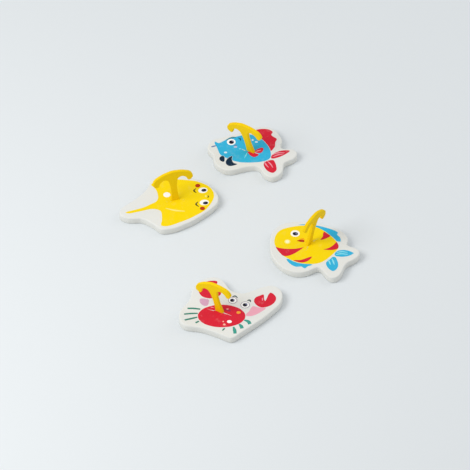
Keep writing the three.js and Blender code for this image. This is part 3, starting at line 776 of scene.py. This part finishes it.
def draw_stroke(width, points, layer, ends, cyclic=False):
    """A stroke of ink, whose ends are given as shares of its width in the middle."""
    stroke = draw_line("stroke", points, cyclic)
    drawing = stroke.data
    knots = drawing.splines[0].bezier_points
    knots[0].radius, knots[-1].radius = ends
    drawing.bevel_depth = width / 2 * MM * DRAWN
    drawing.bevel_resolution = STROKE_SIDES
    drawing.resolution_u = STROKE_STEPS
    drawing.use_fill_caps = True
    bpy.ops.object.convert(target="MESH")
    close_mesh(stroke, SHORTEST_EDGE * DRAWN)
    flat = Matrix.Diagonal((1, 1, INK / (width * MM), 1))
    apply_place(stroke, Matrix.Scale(1 / DRAWN, 4) @ flat)
    return apply_place(stroke, Matrix.Translation((0, 0, SHEET + (layer + 0.5) * INK)))


def draw_dot(middle, radii, layer):
    """A round spot of ink with a shoulder round its rim."""
    bpy.ops.object.select_all(action="DESELECT")
    bpy.ops.mesh.primitive_circle_add(
        vertices=DOT_SIDES, radius=MM, fill_type="NGON", location=(0, 0, 0),
    )
    dot = bpy.context.active_object
    bpy.ops.object.mode_set(mode="EDIT")
    bpy.ops.mesh.select_all(action="SELECT")
    for share in (SHOULDER_HEIGHT, 1 - SHOULDER_HEIGHT):
        bpy.ops.mesh.extrude_region_move(TRANSFORM_OT_translate={"value": (0, 0, INK * share)})
    bpy.ops.transform.resize(
        value=(SHOULDER_RADIUS, SHOULDER_RADIUS, 1), center_override=(0, 0, 0),
    )
    bpy.ops.mesh.select_all(action="SELECT")
    bpy.ops.mesh.normals_make_consistent(inside=False)
    bpy.ops.object.mode_set(mode="OBJECT")
    place = Matrix.Translation((middle[0] * MM, middle[1] * MM, SHEET + layer * INK))
    return apply_place(dot, place @ Matrix.Diagonal((*radii, 1, 1)))


def ring(middle, radius):
    """Points round a circle, in millimetres."""
    turns = [math.tau * i / RING_POINTS for i in range(RING_POINTS)]
    return [(middle[0] + radius * math.cos(t), middle[1] + radius * math.sin(t)) for t in turns]


def make_marks(name, marks):
    """A group of small marks in one ink, joined to one piece."""
    layer = marks["layer"]
    ends = marks.get("ends", STROKE_ENDS)
    drawn = []
    for width, points in marks.get("strokes", []):
        drawn.append(draw_stroke(width, points, layer, ends))
    for width, middle, radius in marks.get("rings", []):
        drawn.append(draw_stroke(width, ring(middle, radius), layer, (1, 1), cyclic=True))
    for middle, radii in marks.get("dots", []):
        drawn.append(draw_dot(middle, radii, layer))
    for points in marks.get("patches", []):
        drawn.append(draw_patch("patch", points, layer))
    pick(drawn[0])
    for mark in drawn:
        mark.select_set(True)
    if len(drawn) > 1:
        bpy.ops.object.join()
    piece = bpy.context.active_object
    piece.name = piece.data.name = name
    return dress(piece, marks["body"], INKS[marks["ink"]][1], marks.get("nodes", ()), marks["ink"])


def dress(piece, body, slot, nodes, ink=None):
    """Gives a piece its material, by its ink or else by its slot, and its body, and hides the CAD
    nodes that it stands for.
    """
    piece.data.materials.clear()
    piece.data.materials.append(materials[ink or slot])
    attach(piece, body)
    if nodes:
        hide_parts(*nodes)
    return piece


# Materials

# Cells to the metre, and the depth of their pits
FOAM_CELLS = 1500
HOOK_CELLS = 1900
INK_CELLS = 1500
PINHOLE_CELLS = 900
FOAM_PIT = 0.12 * MM
HOOK_PIT = 0.08 * MM
INK_PIT = 0.08 * MM

# Distances from a cell's middle, as shares of the cell, between which a pinhole shallows
PINHOLE_RIM = (0.06, 0.12)

# How bare a pinhole is, and how rough ink is where it lies thick and where it lies thin
PINHOLE_BARE = 0.25
INK_ROUGHNESS = (0.42, 0.62)

# How much of the painted shade, the deeper tone, foam takes at its lowest and at its highest
PAINTED_SHADE_SHARE = (0.75, 0.05)

FOAM_ROUGHNESS = 0.72
FLOOR_ROUGHNESS = 0.95
FOAM_SHINE = 0.15
INK_SHINE = 0.12
FLOOR_SHINE = 0.1


def add_node(tree, kind, links=None, **values):
    """A node with its properties and inputs set by name, and its inputs linked."""
    node = tree.nodes.new(kind)
    for name, value in values.items():
        if hasattr(node, name):
            setattr(node, name, value)
        else:
            node.inputs[name.replace("_", " ")].default_value = value
    for name, source in (links or {}).items():
        tree.links.new(source, node.inputs[name])
    return node


def new_group(name, inputs, outputs):
    """An empty node group with its sockets, and its input and output nodes."""
    group = bpy.data.node_groups.new(name, "ShaderNodeTree")
    for socket, kind in inputs:
        group.interface.new_socket(socket, in_out="INPUT", socket_type=kind)
    for socket, kind in outputs:
        group.interface.new_socket(socket, in_out="OUTPUT", socket_type=kind)
    entry = group.nodes.new("NodeGroupInput")
    leave = group.nodes.new("NodeGroupOutput")
    return group, entry.outputs, leave.inputs


def closed_cells_group():
    """Closed-cell foam: the bulge of each cell, and a slow change of tone."""
    group, given, result = new_group(
        "Closed cells",
        [("Vector", "NodeSocketVector"), ("Cells per Metre", "NodeSocketFloat")],
        [("Height", "NodeSocketFloat"), ("Tone", "NodeSocketFloat")],
    )
    cells = add_node(
        group, "ShaderNodeTexVoronoi",
        {"Vector": given["Vector"], "Scale": given["Cells per Metre"]}, feature="SMOOTH_F1",
        Smoothness=0.3,
    )
    bulge = add_node(
        group, "ShaderNodeMapRange", {"Value": cells.outputs["Distance"]}, From_Max=0.75,
        To_Min=1, To_Max=0,
    )
    skin = add_node(
        group, "ShaderNodeTexNoise", {"Vector": given["Vector"]}, Scale=260, Detail=3,
    )
    both = add_node(
        group, "ShaderNodeMix", {"A": bulge.outputs["Result"], "B": skin.outputs["Fac"]},
        Factor=0.45,
    )
    slow = add_node(group, "ShaderNodeTexNoise", {"Vector": given["Vector"]}, Scale=55, Detail=4)
    group.links.new(both.outputs["Result"], result["Height"])
    group.links.new(slow.outputs["Fac"], result["Tone"])
    return group


def ink_lay_group():
    """Ink on foam: uneven cover, and pinholes where an open cell took none."""
    group, given, result = new_group(
        "Ink lay",
        [
            ("Vector", "NodeSocketVector"), ("Ink", "NodeSocketColor"),
            ("Foam", "NodeSocketColor"), ("Patchiness", "NodeSocketFloat"),
        ],
        [
            ("Color", "NodeSocketColor"), ("Roughness", "NodeSocketFloat"),
            ("Height", "NodeSocketFloat"),
        ],
    )
    cover = add_node(
        group, "ShaderNodeTexNoise", {"Vector": given["Vector"]}, Scale=150, Detail=5,
        Roughness=0.6,
    )
    thin = add_node(
        group, "ShaderNodeMapRange", {"Value": cover.outputs["Fac"]}, From_Min=0.55,
        From_Max=0.95,
    )
    thinned = add_node(
        group, "ShaderNodeMath", {0: thin.outputs["Result"], 1: given["Patchiness"]},
        operation="MULTIPLY",
    )
    cells = add_node(
        group, "ShaderNodeTexVoronoi", {"Vector": given["Vector"]}, Scale=PINHOLE_CELLS,
    )
    pinhole = add_node(
        group, "ShaderNodeMapRange", {"Value": cells.outputs["Distance"]},
        From_Min=PINHOLE_RIM[0], From_Max=PINHOLE_RIM[1], To_Min=PINHOLE_BARE, To_Max=0,
    )
    bare = add_node(
        group, "ShaderNodeMath", {0: thinned.outputs[0], 1: pinhole.outputs["Result"]},
        operation="MAXIMUM",
    )
    colour = add_node(
        group, "ShaderNodeMix",
        {"Factor": bare.outputs[0], "A": given["Ink"], "B": given["Foam"]}, data_type="RGBA",
    )
    roughness = add_node(
        group, "ShaderNodeMapRange", {"Value": cover.outputs["Fac"]},
        To_Min=INK_ROUGHNESS[0], To_Max=INK_ROUGHNESS[1],
    )
    group.links.new(colour.outputs["Result"], result["Color"])
    group.links.new(roughness.outputs["Result"], result["Roughness"])
    group.links.new(pinhole.outputs["Result"], result["Height"])
    return group


def new_material(name):
    """A material whose one shader is waiting for its colour, roughness and normal."""
    material = bpy.data.materials.new(name)
    material.use_nodes = True
    tree = material.node_tree
    return material, tree, tree.nodes["Principled BSDF"], add_node(tree, "ShaderNodeTexCoord")


def place_group(tree, group, links, **values):
    """A node group in a material, with its inputs set by name and linked."""
    node = add_node(tree, "ShaderNodeGroup", node_tree=group)
    for name, value in values.items():
        node.inputs[name.replace("_", " ")].default_value = value
    for name, source in links.items():
        tree.links.new(source, node.inputs[name])
    return node


def foam_material(name, top, deep, cells_per_metre, pit, low, high):
    """Foam coloured right through, with less of its deeper tone, a painted shade, the nearer it is
    to high.
    """
    material, tree, shader, coordinates = new_material(name)
    place = coordinates.outputs["Object"]
    cells = place_group(tree, closed_cells, {"Vector": place}, Cells_per_Metre=cells_per_metre)
    height = add_node(tree, "ShaderNodeSeparateXYZ", {"Vector": place})
    # Painted shade: the deeper tone, mottled by the slow tone, grows towards low
    painted_shade_by_height = add_node(
        tree, "ShaderNodeMapRange", {"Value": height.outputs["Z"]}, From_Min=low, From_Max=high,
        To_Min=PAINTED_SHADE_SHARE[0], To_Max=PAINTED_SHADE_SHARE[1],
    )
    share = add_node(
        tree, "ShaderNodeMath", {0: cells.outputs["Tone"], 1: painted_shade_by_height.outputs["Result"]},
        operation="MULTIPLY",
    )
    colour = add_node(
        tree, "ShaderNodeMix", {"Factor": share.outputs[0]}, data_type="RGBA", A=linear(top),
        B=linear(deep),
    )
    bump = add_node(
        tree, "ShaderNodeBump", {"Height": cells.outputs["Height"]}, Distance=pit, Strength=0.6,
    )
    tree.links.new(colour.outputs["Result"], shader.inputs["Base Color"])
    tree.links.new(bump.outputs["Normal"], shader.inputs["Normal"])
    shader.inputs["Roughness"].default_value = FOAM_ROUGHNESS
    shader.inputs["Specular IOR Level"].default_value = FOAM_SHINE
    return material


def ink_material(name, colour, patchiness):
    """One ink on foam, whose cells and pinholes show through it."""
    material, tree, shader, coordinates = new_material(name + "_print")
    place = coordinates.outputs["Object"]
    lay = place_group(
        tree, ink_lay, {"Vector": place}, Ink=linear(colour), Foam=linear(FOAM_COLOUR),
        Patchiness=patchiness,
    )
    cells = place_group(tree, closed_cells, {"Vector": place}, Cells_per_Metre=INK_CELLS)
    pits = add_node(
        tree, "ShaderNodeMath", {0: cells.outputs["Height"], 1: lay.outputs["Height"]},
        operation="SUBTRACT",
    )
    bump = add_node(
        tree, "ShaderNodeBump", {"Height": pits.outputs[0]}, Distance=INK_PIT, Strength=0.5,
    )
    tree.links.new(lay.outputs["Color"], shader.inputs["Base Color"])
    tree.links.new(lay.outputs["Roughness"], shader.inputs["Roughness"])
    tree.links.new(bump.outputs["Normal"], shader.inputs["Normal"])
    shader.inputs["Specular IOR Level"].default_value = INK_SHINE
    return material


def make_materials():
    """The two foams by their slots, and the inks by their names."""
    made = {
        # The foam sheets take a painted shade that deepens towards the floor
        "foam_white": foam_material(
            "white_foam", FOAM_COLOUR, FOAM_PAINTED_SHADE, FOAM_CELLS, FOAM_PIT, low=0, high=SHEET,
        ),
        # The hook plates take a painted shade that deepens towards their feet in the foam
        "hook_yellow": foam_material(
            "yellow_foam", HOOK_COLOUR, HOOK_PAINTED_SHADE, HOOK_CELLS, HOOK_PIT, low=SHEET,
            high=3 * SHEET,
        ),
    }
    for name, (colour, _, patchiness) in INKS.items():
        made[name] = ink_material(name, colour, patchiness)
    return made


# Studio

LOOK_AT = Vector((-5.8, -5.2, 10)) * MM
CAMERA_DISTANCE = 1.6
CAMERA_ELEVATION = math.radians(45)
VIEW_WIDTH = 0.5875
FLOOR_SIZE = 12
WORLD_STRENGTH = 0.6

# Each lamp: its direction from the set, its distance, size and power, and its colour
LAMPS = {
    "key_lamp": ((-1, -0.4, 1.2), 1.8, 1.0, 16.2, (1, 0.99, 0.97)),
    "fill_lamp": ((1.2, 0.6, 1.0), 2.0, 1.4, 6, (0.97, 0.985, 1)),
}


def make_camera():
    """A camera without perspective, in front of the set and 45 degrees above it."""
    away = Vector((0, -math.cos(CAMERA_ELEVATION), math.sin(CAMERA_ELEVATION)))
    bpy.ops.object.camera_add(
        location=LOOK_AT + away * CAMERA_DISTANCE,
        rotation=(math.pi / 2 - CAMERA_ELEVATION, 0, 0),
    )
    camera = bpy.context.active_object
    camera.data.type = "ORTHO"
    camera.data.ortho_scale = VIEW_WIDTH
    bpy.context.scene.camera = camera


def make_lamp(name, direction, distance, size, power, colour):
    """A soft square lamp that shines on the set from a direction."""
    place = LOOK_AT + Vector(direction).normalized() * distance
    bpy.ops.object.light_add(type="AREA", location=place)
    lamp = bpy.context.active_object
    lamp.name = name
    lamp.rotation_euler = (place - LOOK_AT).to_track_quat("Z", "Y").to_euler()
    lamp.data.size = size
    lamp.data.energy = power
    lamp.data.color = colour


def make_floor():
    """A pale matt floor under the set."""
    bpy.ops.mesh.primitive_plane_add(size=FLOOR_SIZE)
    floor = bpy.context.active_object
    floor.name = "studio_floor"
    material, _, shader, _ = new_material("studio_floor")
    shader.inputs["Base Color"].default_value = linear(FLOOR_COLOUR)
    shader.inputs["Roughness"].default_value = FLOOR_ROUGHNESS
    shader.inputs["Specular IOR Level"].default_value = FLOOR_SHINE
    floor.data.materials.append(material)


def make_world():
    """Soft light from all round, and a pale background where the floor ends."""
    world = bpy.data.worlds.new("studio")
    bpy.context.scene.world = world
    world.use_nodes = True
    tree = world.node_tree
    light = tree.nodes["Background"]
    light.inputs["Color"].default_value = (1, 1, 1, 1)
    light.inputs["Strength"].default_value = WORLD_STRENGTH
    seen = add_node(tree, "ShaderNodeBackground", Color=linear(FLOOR_COLOUR), Strength=1)
    rays = add_node(tree, "ShaderNodeLightPath")
    shown = rays.outputs["Is Camera Ray"]
    for other in ("Is Glossy Ray", "Is Transmission Ray"):
        shown = add_node(
            tree, "ShaderNodeMath", {0: shown, 1: rays.outputs[other]}, operation="MAXIMUM",
        ).outputs[0]
    either = add_node(
        tree, "ShaderNodeMixShader",
        {0: shown, 1: light.outputs["Background"], 2: seen.outputs["Background"]},
    )
    tree.links.new(either.outputs["Shader"], tree.nodes["World Output"].inputs["Surface"])


closed_cells = closed_cells_group()
ink_lay = ink_lay_group()
materials = make_materials()

pattern = make_plate_pattern()
for animal, prints in PRINTS.items():
    foam_blade = make_slit_blade(animal, FOAM_SLIT)
    print_blade = make_slit_blade(animal, PRINT_SLITS[animal])
    make_float(animal, foam_blade)
    make_hook(animal, pattern)
    for name in prints:
        make_print(animal, name, print_blade)
    for blade in (foam_blade, print_blade):
        pick(blade)
        bpy.ops.object.delete()
for name, marks in MARKS.items():
    make_marks(name, marks)
pick(pattern)
bpy.ops.object.delete()

make_camera()
make_floor()
make_world()
for name, lamp in LAMPS.items():
    make_lamp(name, *lamp)

bpy.context.scene.view_settings.view_transform = "Standard"
